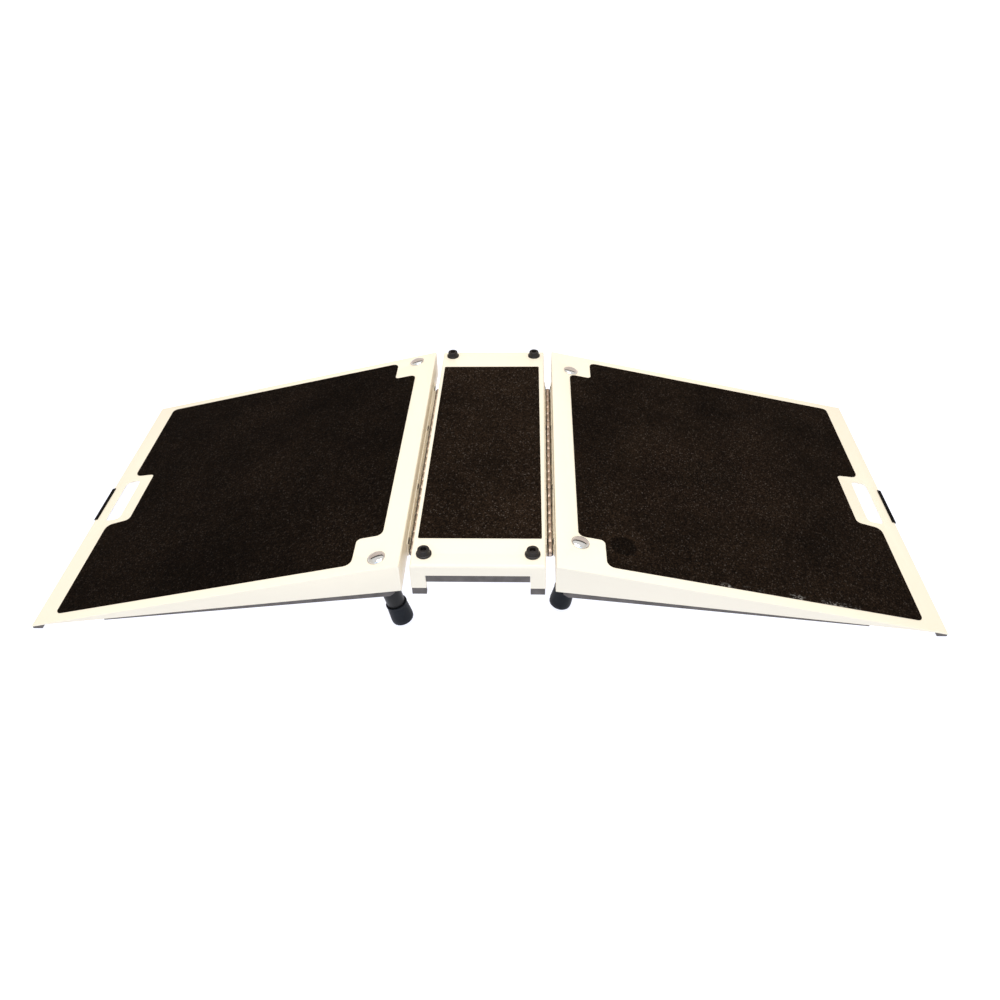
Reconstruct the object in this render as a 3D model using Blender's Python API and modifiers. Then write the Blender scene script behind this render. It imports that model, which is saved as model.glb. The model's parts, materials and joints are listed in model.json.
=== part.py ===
"""Folding loading ramp: a short bridge with a long wedge ramp hinged to each end.

Metres, +Z up. The origin is on the floor under the middle of the bridge, +X is the way a wheel
travels, and +Y runs across the ramp. The model stands as it does in use: both ramps slope down to
the floor on their own legs and toes, with the bridge level between them.

Each ramp is drawn in its own ramp frame: the origin is the top edge of its hinge wall, +X runs down
the slope to the toe, and +Z is square to the deck. An empty on each hinge pin carries that ramp.
"""

import math

import bmesh
import bpy
from mathutils import Matrix, Vector

# Driving sizes
WIDTH = 0.700
BRIDGE_LENGTH = 0.223
RAMP_LENGTH = 0.680
SLOPE = math.radians(12.7)
HINGE_GAP = 0.0164
SHEET = 0.0025
FIT = 0.0003

# Depths below the deck's top face
BRIDGE_DEPTH = 0.050
CUTOUT_DEPTH = 0.022
PAD_THICKNESS = 0.0135
RAMP_DEPTH = 0.0552
TOE_DEPTH = 0.0065
PIN_DEPTH = 0.050

# Edges of the trays
LIP_WIDTH = 0.009
LIP_THICKNESS = 0.0025
FOOT_LENGTH = 0.0255
WALL_END = 0.650
LIP_END = 0.540
HOLLOW_END = 0.640
PAD_INSET = 0.001
STRIP_START = 0.026
STRIP_END = 0.544
STRIP_FULL = 0.010
STRIP_NOSE = 0.004
STRIP_THIN = 0.0022
TOE_FLAT = 0.016
TOE_BEVEL = 0.006

# Grip panels
GRIT = 0.0012
BRIDGE_PANEL_LEFT = 0.1035
BRIDGE_PANEL_RIGHT = (0.1050, 0.1000)
BRIDGE_PANEL_HALF_WIDTH = 0.282
BRIDGE_PANEL_CORNER = 0.002
PANEL_START = 0.040
PANEL_END = 0.642
PANEL_HALF_WIDTH = 0.329
HINGE_NOTCH = (0.0465, 0.065)
HANDLE_NOTCH_START = 0.5955
HANDLE_NOTCH_HALF = (0.0745, 0.0805)
HINGE_NOTCH_RADII = (0.012, 0.009, 0.014)
TOE_CORNER_RADIUS = 0.010
HANDLE_NOTCH_RADII = (0.015, 0.010)

# Hand slot, which sits a little nearer to the near side, with its notch and its edge strip
HANDLE_SIDE = 0.0075
SLOT_START = 0.623
SLOT_END = 0.655
SLOT_HALF = 0.063
SLOT_CORNER = 0.009
GRIP_STRIP_SIDE = 0.0105
GRIP_STRIP_HALF = 0.0505
GRIP_STRIP_LAP = 0.0055
GRIP_STRIP_OVER = 0.0013
GRIP_STRIP_FRONT = 0.0018

# Legs
LEG_FROM_HINGE = 0.0425
LEG_SIDE = {"left": 0.3215, "right": 0.2810}
LEG_RADIUS = 0.016
LEG_WALL = 0.002
FERRULE_RADIUS = 0.0196
FERRULE_MOUTH = 0.0182
FERRULE_LENGTH = 0.041
FERRULE_FLOOR = 0.008
FERRULE_BAND = (0.004, 0.010)
BOLT_RADIUS = 0.005
BOLT_LENGTH = 0.020
BOLT_HEAD_RADIUS = 0.0155
BOLT_HEAD_HEIGHT = 0.0050
BOLT_HEAD_RIM = 0.0008
INSERT_LENGTH = 0.022

# Bumpers
BUMPER_FROM_MIDDLE = 0.0896
BUMPER_SIDE = {"near": -0.3215, "far": 0.3300}
BUMPER_RADIUS = 0.013
BUMPER_HEIGHT = 0.0115
BUMPER_TOP_RADIUS = 0.0098
BUMPER_SHOULDERS = ((0.0107, 0.0034), (0.0124, 0.0030))
BUMPER_RECESS = (0.0055, 0.0042)
BUMPER_HOLE_RADIUS = 0.0024
BUMPER_SCREW_RADIUS = 0.002
BUMPER_SCREW_LENGTH = 0.010
BUMPER_SCREW_HEAD = ((0.0029, 0.0023), (0.0049, 0.0010))
BUMPER_SCREW_CROWN = 0.0026

# Piano hinges
HINGE_HALF = 0.265
KNUCKLES = 21
KNUCKLE_GAP = 0.0006
BARREL_RADIUS = 0.0057
PIN_RADIUS = 0.0025
PIN_CLEARANCE = 0.00006
LEAF_THICKNESS = 0.0018
LEAF_HEIGHT = 0.022
PIN_OVERHANG = 0.001
KNUCKLE_NOTCH = 0.007

# Ribs
RIB_WIDTH = 0.030
RAMP_RIB_SIDE = 0.125
RAMP_RIB_SPAN = (0.024, 0.560)
RAMP_RIB_DEPTH = (0.036, 0.007)
BRIDGE_RIB_SIDE = 0.120
BRIDGE_RIB_DEPTH = 0.020

# How far a cutter runs past the face that it opens, and into the hollow beside it
PAST = 0.010
OVERLAP = 0.001

ROUND_STEPS = 24
SMALL_ROUND_STEPS = 12
MERGE_DISTANCE = 0.00005
SHARP_ANGLE = math.radians(30)

# Worked out from the driving sizes
DECK_HEIGHT = RAMP_LENGTH * math.sin(SLOPE) + TOE_DEPTH * math.cos(SLOPE)
RAMP_START = BRIDGE_LENGTH / 2 + HINGE_GAP
PIN_X = (BRIDGE_LENGTH + HINGE_GAP) / 2
PIN_Z = DECK_HEIGHT - PIN_DEPTH
LEG_TIP_RISE = FERRULE_MOUTH * math.sin(SLOPE)
LEG_LENGTH = (DECK_HEIGHT - LEG_FROM_HINGE * math.sin(SLOPE) - LEG_TIP_RISE) / math.cos(SLOPE)

# A ramp frame's heading, and the sign of Y at its near and far edges, for each ramp
SIDES = {"left": math.pi, "right": 0.0}
EDGES = {"left": (("near", 1), ("far", -1)), "right": (("near", -1), ("far", 1))}
HALF_WIDTH = WIDTH / 2

parts = None
cutters = None
materials = {}


def start():
    """Empty the scene and make the two collections."""
    global parts, cutters
    for old in list(bpy.data.objects):
        bpy.data.objects.remove(old)
    parts = bpy.data.collections.new("folding_loading_ramp")
    cutters = bpy.data.collections.new("cutters")
    for collection in (parts, cutters):
        bpy.context.scene.collection.children.link(collection)


def make_material(name, colour, roughness, metallic=0.0):
    """A plain finish, kept in the materials table by name."""
    material = bpy.data.materials.new(name)
    material.use_nodes = True
    shader = material.node_tree.nodes["Principled BSDF"]
    shader.inputs["Base Color"].default_value = (*colour, 1.0)
    shader.inputs["Roughness"].default_value = roughness
    shader.inputs["Metallic"].default_value = metallic
    materials[name] = material


def make_materials():
    make_material("cream_coat", (0.93, 0.89, 0.78), 0.45)
    make_material("black_grit", (0.018, 0.013, 0.010), 0.90)
    make_material("black_rubber", (0.030, 0.029, 0.029), 0.65)
    make_material("grey_rubber", (0.140, 0.120, 0.108), 0.70)
    make_material("black_coat", (0.040, 0.041, 0.042), 0.40)
    make_material("bright_steel", (0.70, 0.69, 0.66), 0.25, 1.0)
    make_material("hinge_steel", (0.32, 0.27, 0.23), 0.40, 1.0)
    make_material("bare_aluminium", (0.62, 0.62, 0.60), 0.40, 1.0)


# Shapes


def add_object(name, mesh_builder, material=None):
    """Wrap a bmesh as an object in the parts collection, or in the cutters when it has no finish."""
    mesh = bpy.data.meshes.new(name)
    bmesh.ops.recalc_face_normals(mesh_builder, faces=mesh_builder.faces)
    mesh_builder.to_mesh(mesh)
    mesh_builder.free()
    piece = bpy.data.objects.new(name, mesh)
    if material is None:
        cutters.objects.link(piece)
        piece.hide_render = True
        piece.display_type = "WIRE"
    else:
        parts.objects.link(piece)
        mesh.materials.append(materials[material])
    return piece


def box_into(builder, low, high):
    """Add an upright box to a bmesh from its two corners."""
    low, high = Vector(low), Vector(high)
    size = high - low
    place = Matrix.Translation((low + high) / 2) @ Matrix.Diagonal((*size, 1.0))
    bmesh.ops.create_cube(builder, size=1.0, matrix=place)


def prism_into(builder, outline, low, high, axis):
    """Sweep a flat outline along Y from its X-Z points, or along Z from its X-Y points."""
    if axis == "Y":
        points = [(a, low, b) for a, b in outline]
        sweep = (0, high - low, 0)
    else:
        points = [(a, b, low) for a, b in outline]
        sweep = (0, 0, high - low)
    face = builder.faces.new([builder.verts.new(p) for p in points])
    swept = bmesh.ops.extrude_face_region(builder, geom=[face])
    moved = [v for v in swept["geom"] if isinstance(v, bmesh.types.BMVert)]
    bmesh.ops.translate(builder, verts=moved, vec=sweep)


def boxes(name, corners, material=None):
    builder = bmesh.new()
    for low, high in corners:
        box_into(builder, low, high)
    return add_object(name, builder, material)


def prism(name, outline, low, high, axis, material=None):
    builder = bmesh.new()
    prism_into(builder, outline, low, high, axis)
    return add_object(name, builder, material)


def turned(name, profile, material, closed=False, steps=ROUND_STEPS):
    """Turn an X-Z profile round Z. A closed profile makes a ring, an open one meets the axis."""
    builder = bmesh.new()
    points = [builder.verts.new((r, 0, z)) for r, z in profile]
    for one, two in zip(points, points[1:]):
        builder.edges.new((one, two))
    if closed:
        builder.edges.new((points[-1], points[0]))
    mesh = bpy.data.meshes.new(name)
    builder.to_mesh(mesh)
    builder.free()
    piece = bpy.data.objects.new(name, mesh)
    parts.objects.link(piece)
    mesh.materials.append(materials[material])
    screw = piece.modifiers.new("turn", "SCREW")
    screw.steps = steps
    screw.render_steps = steps
    screw.use_merge_vertices = True
    screw.merge_threshold = MERGE_DISTANCE
    screw.use_smooth_shade = True
    return piece


def rod_cutter(name, places, radius, steps=ROUND_STEPS):
    """Upright round cutters that go right through a sheet."""
    builder = bmesh.new()
    for x, y in places:
        bmesh.ops.create_cone(
            builder,
            cap_ends=True,
            segments=steps,
            radius1=radius,
            radius2=radius,
            depth=2 * PAST,
            matrix=Matrix.Translation((x, y, 0)),
        )
    return add_object(name, builder)


def cut(piece, cutter):
    """Take a cutter's shape out of a piece."""
    change = piece.modifiers.new(cutter.name, "BOOLEAN")
    change.operation = "DIFFERENCE"
    change.solver = "EXACT"
    change.object = cutter
    return piece


def rounded(points, radii, steps=5):
    """An outline with each corner replaced by an arc, whether it turns in or out."""
    outline = []
    count = len(points)
    for i, radius in enumerate(radii):
        corner = Vector(points[i])
        before = (Vector(points[i - 1]) - corner).normalized()
        after = (Vector(points[(i + 1) % count]) - corner).normalized()
        if radius == 0:
            outline.append(tuple(corner))
            continue
        half = before.angle(after) / 2
        reach = radius / math.tan(half)
        centre = corner + (before + after).normalized() * radius / math.sin(half)
        first = corner + before * reach - centre
        last = corner + after * reach - centre
        turn = first.angle_signed(last)
        for k in range(steps + 1):
            spin = -turn * k / steps
            arm = Vector((
                first.x * math.cos(spin) - first.y * math.sin(spin),
                first.x * math.sin(spin) + first.y * math.cos(spin),
            ))
            outline.append(tuple(centre + arm))
    return outline


# The bridge


def build_bridge_deck():
    """A sheet tray, open below, whose side walls are cut away between the corner feet."""
    end, side = BRIDGE_LENGTH / 2, HALF_WIDTH
    foot = end - FOOT_LENGTH
    deck = boxes("bridge_deck", [((-end, -side, -BRIDGE_DEPTH), (end, side, 0))], "cream_coat")
    builder = bmesh.new()
    low = -BRIDGE_DEPTH - PAST
    inner = side - SHEET
    lip_edge = side - LIP_WIDTH
    box_into(builder, (-end + SHEET, -lip_edge, low), (end - SHEET, lip_edge, -SHEET))
    cut(deck, add_object("bridge_hollow", builder))
    reach = lip_edge - OVERLAP
    for name, y_low, y_high in (("near", -inner, -reach), ("far", reach, inner)):
        builder = bmesh.new()
        middle_floor = -CUTOUT_DEPTH + LIP_THICKNESS
        foot_floor = -BRIDGE_DEPTH + LIP_THICKNESS
        outline = [
            (-end + SHEET, -SHEET), (end - SHEET, -SHEET), (end - SHEET, foot_floor),
            (foot + LIP_THICKNESS, foot_floor), (foot + LIP_THICKNESS, middle_floor),
            (-foot - LIP_THICKNESS, middle_floor), (-foot - LIP_THICKNESS, foot_floor),
            (-end + SHEET, foot_floor),
        ]
        prism_into(builder, outline, y_low, y_high, "Y")
        cut(deck, add_object("bridge_" + name + "_pocket", builder))
    passage = [((-foot, -side - PAST, low), (foot, side + PAST, -CUTOUT_DEPTH))]
    cut(deck, boxes("threshold_passage", passage))
    places = [(sx * BUMPER_FROM_MIDDLE, y) for sx in (-1, 1) for y in BUMPER_SIDE.values()]
    return cut(deck, rod_cutter("bumper_holes", places, BUMPER_HOLE_RADIUS, SMALL_ROUND_STEPS))


def build_bridge_panel():
    """A hand-cut sheet, a little narrower at the far end of its right edge."""
    left, half = BRIDGE_PANEL_LEFT, BRIDGE_PANEL_HALF_WIDTH
    right_near, right_far = BRIDGE_PANEL_RIGHT
    corners = [(-left, -half), (right_near, -half), (right_far, half), (-left, half)]
    outline = rounded(corners, [BRIDGE_PANEL_CORNER] * 4, 2)
    return prism("bridge_grip_panel", outline, FIT, FIT + GRIT, "Z", "black_grit")


def build_bridge_pads():
    """Rubber under each corner foot and under the top edge of each cut-out."""
    end, foot = BRIDGE_LENGTH / 2, BRIDGE_LENGTH / 2 - FOOT_LENGTH
    made = []
    for side_name, sy in (("near", -1), ("far", 1)):
        y_low, y_high = sorted((sy * (HALF_WIDTH - LIP_WIDTH), sy * HALF_WIDTH))
        top = -CUTOUT_DEPTH - FIT
        low = (-foot + FIT, y_low, top - PAD_THICKNESS)
        made.append(boxes("cutout_pad_" + side_name, [(low, (foot - FIT, y_high, top))], "grey_rubber"))
        top = -BRIDGE_DEPTH - FIT
        for end_name, sx in (("left", -1), ("right", 1)):
            x_low, x_high = sorted((sx * (foot + FIT), sx * (end - PAD_INSET)))
            low = (x_low, y_low, top - PAD_THICKNESS)
            name = "foot_pad_" + end_name + "_" + side_name
            made.append(boxes(name, [(low, (x_high, y_high, top))], "grey_rubber"))
    return made


def build_bridge_ribs():
    """A channel under each third of the bridge deck, open towards the deck."""
    made = []
    reach = BRIDGE_LENGTH / 2 - SHEET - FIT
    for name, sy in (("near", -1), ("far", 1)):
        y = sy * BRIDGE_RIB_SIDE
        made.append(channel("bridge_rib_" + name, y, (-reach, reach), (BRIDGE_RIB_DEPTH,) * 2))
    return made


def channel(name, y, span, depths):
    """A folded channel under a deck, from one depth to another, with its open side up."""
    top = -SHEET - FIT
    outer = [(span[0], top), (span[1], top), (span[1], top - depths[1]), (span[0], top - depths[0])]
    piece = prism(name, outer, y - RIB_WIDTH / 2, y + RIB_WIDTH / 2, "Y", "bare_aluminium")
    fall = (depths[0] - depths[1]) / (span[1] - span[0])
    inner = [
        (span[0] - PAST, top + PAST), (span[1] + PAST, top + PAST),
        (span[1] + PAST, top - depths[1] + SHEET + fall * PAST),
        (span[0] - PAST, top - depths[0] + SHEET - fall * PAST),
    ]
    half = RIB_WIDTH / 2 - SHEET
    return cut(piece, prism(name + "_hollow", inner, y - half, y + half, "Y"))


def bumper_profile():
    """A stepped rubber cone with a screw hole and a recess for the screw's head."""
    hole = BUMPER_HOLE_RADIUS
    recess, floor = BUMPER_RECESS
    return [
        (BUMPER_TOP_RADIUS, BUMPER_HEIGHT), *BUMPER_SHOULDERS, (BUMPER_RADIUS, FIT), (hole, FIT),
        (hole, floor), (recess, floor), (recess, BUMPER_HEIGHT),
    ]


def bumper_screw_profile():
    """A pan head down in the bumper's recess, and a shank through the deck."""
    seat = BUMPER_RECESS[1] + FIT
    shank = BUMPER_SCREW_RADIUS
    rim = BUMPER_SCREW_HEAD[-1][0]
    dome = [(r, seat + z) for r, z in BUMPER_SCREW_HEAD]
    return [(0, seat + BUMPER_SCREW_CROWN)] + dome + [
        (rim, seat), (shank, seat), (shank, -BUMPER_SCREW_LENGTH), (0, -BUMPER_SCREW_LENGTH),
    ]


def build_bumpers():
    made = []
    for end_name, sx in (("left", -1), ("right", 1)):
        for side_name, y in BUMPER_SIDE.items():
            tail = end_name + "_" + side_name
            bumper = turned("bumper_" + tail, bumper_profile(), "black_rubber", closed=True, steps=20)
            screw = turned(
                "bumper_screw_" + tail,
                bumper_screw_profile(),
                "bright_steel",
                steps=SMALL_ROUND_STEPS,
            )
            for piece in (bumper, screw):
                piece.location = (sx * BUMPER_FROM_MIDDLE, y, 0)
                made.append(piece)
    return made


# The hinges


def leaf_outline(facing):
    """One leaf across its section, from the pin's axis, with its wall towards +X or -X."""
    wall = HINGE_GAP / 2 - FIT
    inner = wall - LEAF_THICKNESS
    web = -BARREL_RADIUS + LEAF_THICKNESS
    outline = [(inner, LEAF_HEIGHT), (inner, web)]
    first = math.asin(web / BARREL_RADIUS)
    last = math.radians(270)
    steps = 18
    for k in range(steps + 1):
        angle = first + (last - first) * k / steps
        outline.append((BARREL_RADIUS * math.cos(angle), BARREL_RADIUS * math.sin(angle)))
    outline += [(wall, -BARREL_RADIUS), (wall, LEAF_HEIGHT)]
    return [(facing * x, z) for x, z in outline]


def build_leaf(name, facing, odd):
    """A leaf whose barrel is cut away where the other leaf's knuckles go."""
    leaf = prism(name, leaf_outline(facing), -HINGE_HALF, HINGE_HALF, "Y", "hinge_steel")
    builder = bmesh.new()
    bmesh.ops.create_cone(
        builder,
        cap_ends=True,
        segments=ROUND_STEPS,
        radius1=PIN_RADIUS + PIN_CLEARANCE,
        radius2=PIN_RADIUS + PIN_CLEARANCE,
        depth=2 * (HINGE_HALF + PAST),
        matrix=Matrix.Rotation(math.pi / 2, 4, "X"),
    )
    cut(leaf, add_object(name + "_bore", builder))
    pitch = 2 * HINGE_HALF / KNUCKLES
    reach = HINGE_GAP / 2 - FIT - LEAF_THICKNESS - FIT
    corners = []
    for k in range(odd, KNUCKLES, 2):
        low = -HINGE_HALF + k * pitch - KNUCKLE_GAP / 2
        high = low + pitch + KNUCKLE_GAP
        if k == 0:
            low -= PAST
        if k == KNUCKLES - 1:
            high += PAST
        x_low, x_high = sorted((facing * reach, -facing * KNUCKLE_NOTCH))
        corners.append(((x_low, low, -KNUCKLE_NOTCH), (x_high, high, KNUCKLE_NOTCH)))
    return cut(leaf, boxes(name + "_notches", corners))


def build_pin(name):
    builder = bmesh.new()
    bmesh.ops.create_cone(
        builder,
        cap_ends=True,
        segments=ROUND_STEPS,
        radius1=PIN_RADIUS,
        radius2=PIN_RADIUS,
        depth=2 * (HINGE_HALF + PIN_OVERHANG),
        matrix=Matrix.Rotation(math.pi / 2, 4, "X"),
    )
    return add_object(name, builder, "hinge_steel")


# The ramps, each in its ramp frame


def wall_bottom(x):
    """Depth of a ramp's side wall below the deck's top face."""
    start_x = RAMP_DEPTH * math.tan(SLOPE)
    fall = (RAMP_DEPTH - SHEET) / (WALL_END - start_x)
    return max(SHEET, RAMP_DEPTH - fall * (x - start_x))


def nearward(side, distance):
    """A ramp frame's Y at a distance from the ramp's middle towards its near edge."""
    return dict(EDGES[side])["near"] * distance


def build_ramp_deck(side):
    """A sheet wedge, open below and at the toe, with a lip under each side wall."""
    start_x = RAMP_DEPTH * math.tan(SLOPE)
    outline = [
        (0, 0), (start_x, -RAMP_DEPTH), (WALL_END, -SHEET), (RAMP_LENGTH, -SHEET), (RAMP_LENGTH, 0),
    ]
    deck = prism(side + "_ramp_deck", outline, -HALF_WIDTH, HALF_WIDTH, "Y", "cream_coat")
    inner_top = SHEET * (1 / math.cos(SLOPE) + math.tan(SLOPE))
    deep = RAMP_DEPTH + PAST
    inner_deep = inner_top + (deep - SHEET) * math.tan(SLOPE)
    hollow = [
        (inner_top, -SHEET), (inner_deep, -deep), (HOLLOW_END, -deep), (HOLLOW_END, -SHEET),
    ]
    edge = HALF_WIDTH - LIP_WIDTH
    cut(deck, prism(side + "_ramp_hollow", hollow, -edge, edge, "Y"))
    lip_x = inner_top + (RAMP_DEPTH - SHEET - LIP_THICKNESS) * math.tan(SLOPE)
    pocket = [
        (inner_top, -SHEET), (lip_x, -wall_bottom(lip_x) + LIP_THICKNESS),
        (LIP_END, -wall_bottom(LIP_END) + LIP_THICKNESS), (LIP_END, -deep), (HOLLOW_END, -deep),
        (HOLLOW_END, -SHEET),
    ]
    inner = HALF_WIDTH - SHEET
    for name, sy in EDGES[side]:
        low, high = sorted((sy * inner, sy * (edge - OVERLAP)))
        cut(deck, prism(side + "_ramp_pocket_" + name, pocket, low, high, "Y"))
    middle = nearward(side, HANDLE_SIDE)
    slot_low, slot_high = middle - SLOT_HALF, middle + SLOT_HALF
    corners = [
        (SLOT_START, slot_low), (SLOT_END, slot_low), (SLOT_END, slot_high), (SLOT_START, slot_high),
    ]
    slot = rounded(corners, [SLOT_CORNER] * 4)
    cut(deck, prism(side + "_hand_slot", slot, -PAST, PAST, "Z"))
    places = [(LEG_FROM_HINGE, s * LEG_SIDE[side]) for s in (-1, 1)]
    return cut(deck, rod_cutter(side + "_bolt_holes", places, BOLT_RADIUS + FIT))


def build_ramp_panel(side):
    """Grit sheet, notched at both hinge corners and round the hand slot."""
    notch_x = PANEL_START + HINGE_NOTCH[0]
    notch_y = PANEL_HALF_WIDTH - HINGE_NOTCH[1]
    slot_in, slot_out = HANDLE_NOTCH_HALF
    middle = nearward(side, HANDLE_SIDE)
    sides = []
    for sy in (1, -1):
        sides.append([
            (PANEL_START, sy * notch_y), (notch_x, sy * notch_y), (notch_x, sy * PANEL_HALF_WIDTH),
            (PANEL_END, sy * PANEL_HALF_WIDTH), (PANEL_END, sy * slot_out + middle),
            (HANDLE_NOTCH_START, sy * slot_in + middle),
        ])
    radii = [*HINGE_NOTCH_RADII, TOE_CORNER_RADIUS, *HANDLE_NOTCH_RADII]
    outline = rounded(sides[0] + sides[1][::-1], radii + radii[::-1])
    return prism(side + "_grip_panel", outline, FIT, FIT + GRIT, "Z", "black_grit")


def build_ramp_trim(side):
    """The rubber under the side walls and the toe, and the edge strip beside the hand slot."""
    made = []
    knee = STRIP_START + STRIP_FULL
    start_z, knee_z, end_z = (-wall_bottom(x) - FIT for x in (STRIP_START, knee, STRIP_END))
    outline = [
        (STRIP_START, start_z), (STRIP_END, end_z), (STRIP_END, end_z - STRIP_THIN),
        (knee, knee_z - STRIP_FULL), (STRIP_START, start_z - STRIP_NOSE),
    ]
    for name, sy in EDGES[side]:
        low, high = sorted((sy * HALF_WIDTH, sy * (HALF_WIDTH - LIP_WIDTH)))
        made.append(prism(side + "_edge_strip_" + name, outline, low, high, "Y", "grey_rubber"))
    top = -SHEET - FIT
    flat_start = RAMP_LENGTH - TOE_FLAT
    toe_outline = [
        (RAMP_LENGTH, top), (RAMP_LENGTH, -TOE_DEPTH),
        (flat_start, -TOE_DEPTH - TOE_FLAT * math.tan(SLOPE)), (flat_start - TOE_BEVEL, top),
    ]
    rest = prism(side + "_toe_rest", toe_outline, -HALF_WIDTH, HALF_WIDTH, "Y", "grey_rubber")
    lap = RAMP_LENGTH - GRIP_STRIP_LAP
    back = RAMP_LENGTH + FIT
    front = back + GRIP_STRIP_FRONT
    crest = FIT + GRIP_STRIP_OVER
    grip_outline = [(lap, FIT), (lap, crest), (front, crest), (front, -SHEET), (back, -SHEET), (back, FIT)]
    middle = nearward(side, GRIP_STRIP_SIDE)
    low, high = middle - GRIP_STRIP_HALF, middle + GRIP_STRIP_HALF
    grip = prism(side + "_handle_strip", grip_outline, low, high, "Y", "black_rubber")
    return made + [rest, grip]


def build_ramp_ribs(side):
    made = []
    for name, sy in EDGES[side]:
        rib = channel(side + "_rib_" + name, sy * RAMP_RIB_SIDE, RAMP_RIB_SPAN, RAMP_RIB_DEPTH)
        made.append(rib)
    return made


def bolt_profile():
    """A domed head on the deck and a shank down into the leg's insert."""
    steps = 5
    dome = []
    for k in range(steps + 1):
        angle = math.pi / 2 * k / steps
        rise = (BOLT_HEAD_HEIGHT - BOLT_HEAD_RIM) * math.cos(angle)
        dome.append((BOLT_HEAD_RADIUS * math.sin(angle), FIT + BOLT_HEAD_RIM + rise))
    return dome + [
        (BOLT_HEAD_RADIUS, FIT), (BOLT_RADIUS, FIT), (BOLT_RADIUS, -BOLT_LENGTH), (0, -BOLT_LENGTH),
    ]


def ferrule_profile():
    """A rubber cup over the tube's end, a little wider at the floor."""
    tip = -LEG_LENGTH
    inner, floor = LEG_RADIUS + FIT, tip + FERRULE_FLOOR
    top = tip + FERRULE_LENGTH
    band_low, band_high = FERRULE_BAND
    return [
        (0, floor), (inner, floor), (inner, top), (FERRULE_MOUTH, top),
        (FERRULE_RADIUS, tip + band_high), (FERRULE_RADIUS, tip + band_low), (FERRULE_MOUTH, tip), (0, tip),
    ]


def build_legs(side):
    """Two legs square to the deck, each a tube with an insert, a bolt and a ferrule."""
    made = []
    top = -SHEET - FIT
    bottom = -LEG_LENGTH + FERRULE_FLOOR + FIT
    bore = LEG_RADIUS - LEG_WALL
    tube = [(LEG_RADIUS, top), (LEG_RADIUS, bottom), (bore, bottom), (bore, top)]
    core, thread = bore - FIT, BOLT_RADIUS + FIT
    insert = [(core, top), (core, -INSERT_LENGTH), (thread, -INSERT_LENGTH), (thread, top)]
    for name, sy in EDGES[side]:
        tail = side + "_" + name
        pieces = [
            turned("leg_tube_" + tail, tube, "black_coat", closed=True),
            turned("leg_insert_" + tail, insert, "bare_aluminium", closed=True),
            turned("leg_bolt_" + tail, bolt_profile(), "bright_steel"),
            turned("ferrule_" + tail, ferrule_profile(), "black_rubber"),
        ]
        for piece in pieces:
            piece.location = (LEG_FROM_HINGE, sy * LEG_SIDE[side], 0)
        made += pieces
    return made


# Putting it together


def add_empty(name, matrix):
    empty = bpy.data.objects.new(name, None)
    parts.objects.link(empty)
    empty.matrix_world = matrix
    return empty


def hang(pieces, empty, offset=Vector()):
    """Parent pieces, and their cutters, to an empty, moved by an offset in its frame."""
    for piece in pieces:
        members = [piece] + [m.object for m in piece.modifiers if m.type == "BOOLEAN"]
        for member in members:
            member.parent = empty
            member.location = member.location + offset


def build_bridge():
    frame = add_empty("bridge_frame", Matrix.Translation((0, 0, DECK_HEIGHT)))
    pieces = [build_bridge_deck(), build_bridge_panel()]
    pieces += build_bridge_pads() + build_bridge_ribs() + build_bumpers()
    hang(pieces, frame)


def build_ramp(side, heading):
    """Everything that turns with one ramp hangs from the empty on its pin."""
    pin_place = Vector((PIN_X * math.cos(heading), 0, PIN_Z))
    lean = Matrix.Rotation(heading, 4, "Z") @ Matrix.Rotation(SLOPE, 4, "Y")
    pivot = add_empty(side + "_ramp_pivot", Matrix.Translation(pin_place) @ lean)
    edge = Vector((RAMP_START * math.cos(heading), 0, DECK_HEIGHT))
    offset = lean.inverted() @ (edge - pin_place)
    pieces = [build_ramp_deck(side), build_ramp_panel(side)]
    pieces += build_ramp_trim(side) + build_ramp_ribs(side) + build_legs(side)
    hang(pieces, pivot, offset)


def build_hinge(side, heading):
    """A bridge leaf, a ramp leaf and a pin, level along Y at the hinge's own axis."""
    facing = math.cos(heading)
    place = Matrix.Translation((PIN_X * facing, 0, PIN_Z))
    frame = add_empty(side + "_hinge_axis", place)
    pieces = [
        build_leaf(side + "_hinge_ramp_leaf", facing, 0),
        build_leaf(side + "_hinge_bridge_leaf", -facing, 1),
        build_pin(side + "_hinge_pin"),
    ]
    hang(pieces, frame)


def shade():
    """Smooth the round pieces and keep the corners of the folded ones."""
    for piece in parts.objects:
        if piece.type == "MESH" and not any(m.type == "SCREW" for m in piece.modifiers):
            piece.data.shade_smooth()
            piece.data.set_sharp_from_angle(angle=SHARP_ANGLE)


def main():
    start()
    make_materials()
    build_bridge()
    for side, heading in SIDES.items():
        build_ramp(side, heading)
        build_hinge(side, heading)
    shade()


main()
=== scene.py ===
"""The looks of a folding threshold ramp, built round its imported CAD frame.

Metres, +Z up, in the row frame. Each piece is drawn in the frame of the body that it rides on: the
bridge's has its origin in the middle of the deck's top face, and a ramp's has it at the top edge of
the hinge wall, with +X down the slope and +Z square to the deck. Places and sizes are measured on
the CAD nodes; only finishing sizes, such as the radius of a bend, are given here.
"""

import json  # noqa: E402
import math  # noqa: E402

import bmesh  # noqa: E402
import bpy  # noqa: E402
import numpy as np  # noqa: E402
from mathutils import Matrix, Vector  # noqa: E402
from mathutils.geometry import delaunay_2d_cdt  # noqa: E402

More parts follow.
